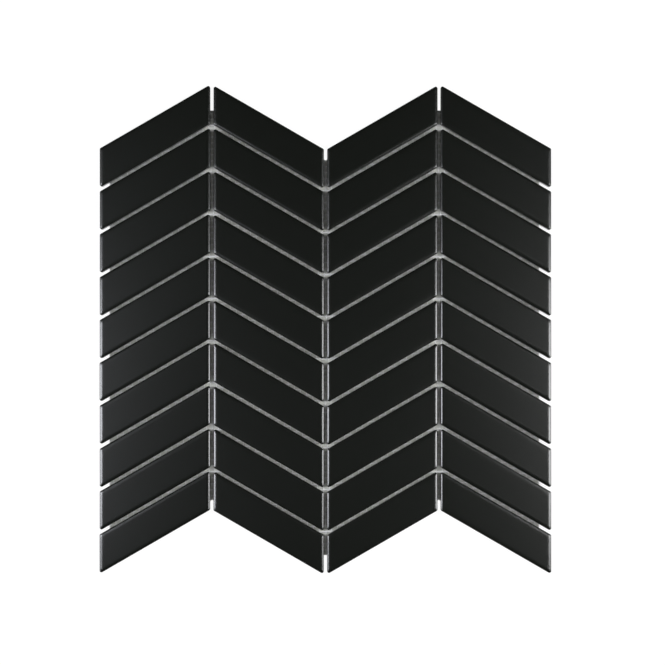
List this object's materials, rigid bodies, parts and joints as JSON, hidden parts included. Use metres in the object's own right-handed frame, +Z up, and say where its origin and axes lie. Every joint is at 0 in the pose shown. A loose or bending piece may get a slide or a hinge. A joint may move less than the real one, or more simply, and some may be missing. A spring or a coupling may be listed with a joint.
{
  "type": "mesh-mounted chevron mosaic tile sheet",
  "caption": "Chevron mosaic sheet: slanted black glazed porcelain chips in zigzag columns, bonded with narrow open joints to a light backing mesh, for tiling walls.",
  "frame": {"origin": "middle of the sheet's footprint, on the underside of the backing mesh", "axes": "+X across the columns, +Y along the columns towards the end whose outer joints are peaks, +Z up, out of the glazed faces"},
  "size_m": [0.2708, 0.2918, 0.006],
  "materials": {
    "black_glaze": "smooth glossy black glaze on the face and the rounded edges, bare grey porcelain on the back",
    "glass_fibre_mesh": "off-white coated glass-fibre scrim, held to the chips by clear glue"
  },
  "bodies": {
    "root": {"backing_mesh": "glass_fibre_mesh", "chip_column1_row01": "black_glaze", "chip_column1_row02": "black_glaze", "chip_column1_row03": "black_glaze", "chip_column1_row04": "black_glaze", "chip_column1_row05": "black_glaze", "chip_column1_row06": "black_glaze", "chip_column1_row07": "black_glaze", "chip_column1_row08": "black_glaze", "chip_column1_row09": "black_glaze", "chip_column1_row10": "black_glaze", "chip_column2_row01": "black_glaze", "chip_column2_row02": "black_glaze", "chip_column2_row03": "black_glaze", "chip_column2_row04": "black_glaze", "chip_column2_row05": "black_glaze", "chip_column2_row06": "black_glaze", "chip_column2_row07": "black_glaze", "chip_column2_row08": "black_glaze", "chip_column2_row09": "black_glaze", "chip_column2_row10": "black_glaze", "chip_column3_row01": "black_glaze", "chip_column3_row02": "black_glaze", "chip_column3_row03": "black_glaze", "chip_column3_row04": "black_glaze", "chip_column3_row05": "black_glaze", "chip_column3_row06": "black_glaze", "chip_column3_row07": "black_glaze", "chip_column3_row08": "black_glaze", "chip_column3_row09": "black_glaze", "chip_column3_row10": "black_glaze", "chip_column4_row01": "black_glaze", "chip_column4_row02": "black_glaze", "chip_column4_row03": "black_glaze", "chip_column4_row04": "black_glaze", "chip_column4_row05": "black_glaze", "chip_column4_row06": "black_glaze", "chip_column4_row07": "black_glaze", "chip_column4_row08": "black_glaze", "chip_column4_row09": "black_glaze", "chip_column4_row10": "black_glaze"}
  },
  "joints": []
}
